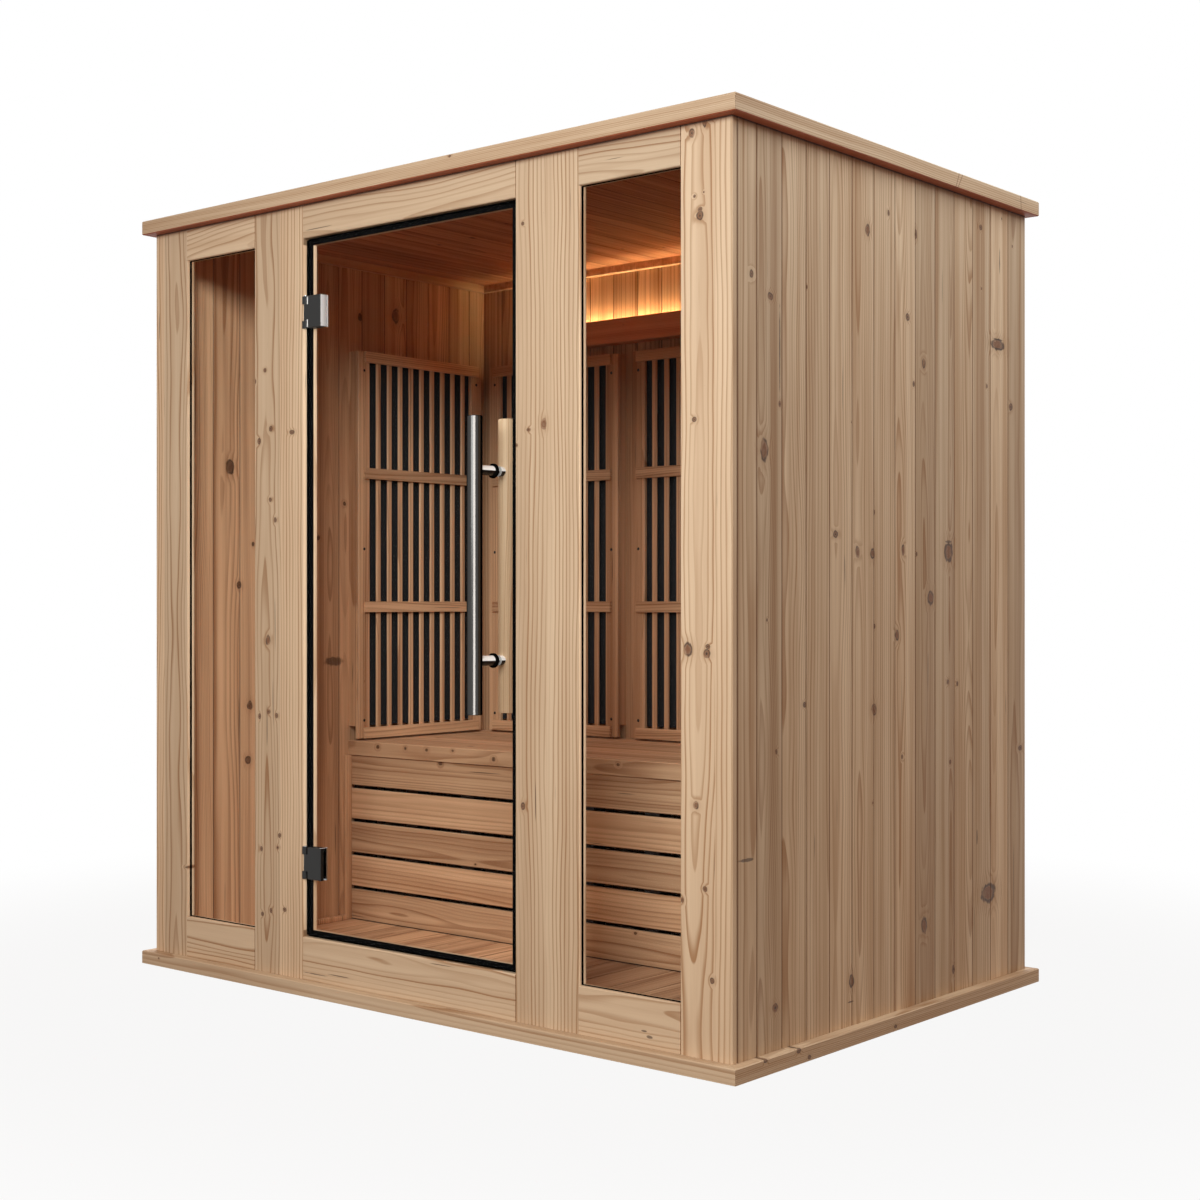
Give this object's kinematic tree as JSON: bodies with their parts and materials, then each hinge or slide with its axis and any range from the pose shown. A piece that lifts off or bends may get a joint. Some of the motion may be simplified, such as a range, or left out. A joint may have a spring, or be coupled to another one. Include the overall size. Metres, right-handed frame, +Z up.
{
  "type": "infrared sauna cabin",
  "caption": "Timber infrared sauna cabin with a glazed front, an outward-opening glass door on clamp hinges, a bench, slatted radiant heater guards and a light pelmet.",
  "frame": {"origin": "on the floor under the middle of the walls", "axes": "+X to the right seen from the glazed front, +Y from the front to the back wall, +Z up"},
  "size_m": [1.868, 1.31, 1.9],
  "materials": {
    "exterior_timber": "planed, pale and satin, with knots",
    "interior_timber": "planed, warm brown and matt",
    "black_rubber": "matt",
    "clear_glass": "clear and polished",
    "dark_metal": "satin anthracite",
    "bright_steel": "brushed along the bar, polished on the spindles",
    "emitter_black": "matt",
    "unit_grey": "powder coated",
    "panel_black": "glossy"
  },
  "bodies": {
    "cabin": {"plinth_front": "exterior_timber", "plinth_back": "exterior_timber", "plinth_left": "exterior_timber", "plinth_right": "exterior_timber", "floor_deck": "interior_timber", "cap_front": "exterior_timber", "cap_back": "exterior_timber", "cap_left": "exterior_timber", "cap_right": "exterior_timber", "roof_panel": "interior_timber", "left_wall_cladding": "exterior_timber", "right_wall_cladding": "exterior_timber", "back_wall_cladding": "exterior_timber", "left_wall_lining": "interior_timber", "right_wall_lining": "interior_timber", "back_wall_lining": "interior_timber", "left_corner_stile": "exterior_timber", "hinge_post": "exterior_timber", "handle_post": "exterior_timber", "right_corner_stile": "exterior_timber", "left_window_head": "exterior_timber", "left_window_sill": "exterior_timber", "right_window_head": "exterior_timber", "right_window_sill": "exterior_timber", "door_head": "exterior_timber", "door_sill": "exterior_timber", "left_window_glass": "clear_glass", "right_window_glass": "clear_glass", "left_window_gasket": "black_rubber", "right_window_gasket": "black_rubber", "door_seal": "black_rubber", "upper_hinge_leaf": "dark_metal", "upper_hinge_pin": "bright_steel", "lower_hinge_leaf": "dark_metal", "lower_hinge_pin": "bright_steel", "bench_top": "interior_timber", "bench_fascia": "interior_timber", "bench_frame": "interior_timber", "left_heater_guard": "interior_timber", "left_heater_emitter": "emitter_black", "right_heater_guard": "interior_timber", "right_heater_emitter": "emitter_black", "back_left_heater_guard": "interior_timber", "back_left_heater_emitter": "emitter_black", "back_middle_heater_guard": "interior_timber", "back_middle_heater_emitter": "emitter_black", "back_right_heater_guard": "interior_timber", "back_right_heater_emitter": "emitter_black", "led_pelmet": "interior_timber", "power_unit": "unit_grey", "touch_panel": "panel_black"},
    "door": {"door_glass": "clear_glass", "outer_handle_bar": "bright_steel", "inner_handle_bar": "interior_timber", "upper_handle_spindle": "bright_steel", "lower_handle_spindle": "bright_steel", "upper_hinge_clamp": "dark_metal", "upper_hinge_back_plate": "bright_steel", "lower_hinge_clamp": "dark_metal", "lower_hinge_back_plate": "bright_steel"}
  },
  "joints": [
    {"name": "door_hinge", "type": "hinge", "parent": "cabin", "child": "door", "pos_m": [-0.333, -0.605, 0.96], "axis": [0, 0, -1], "range_deg": [0, 110]}
  ]
}
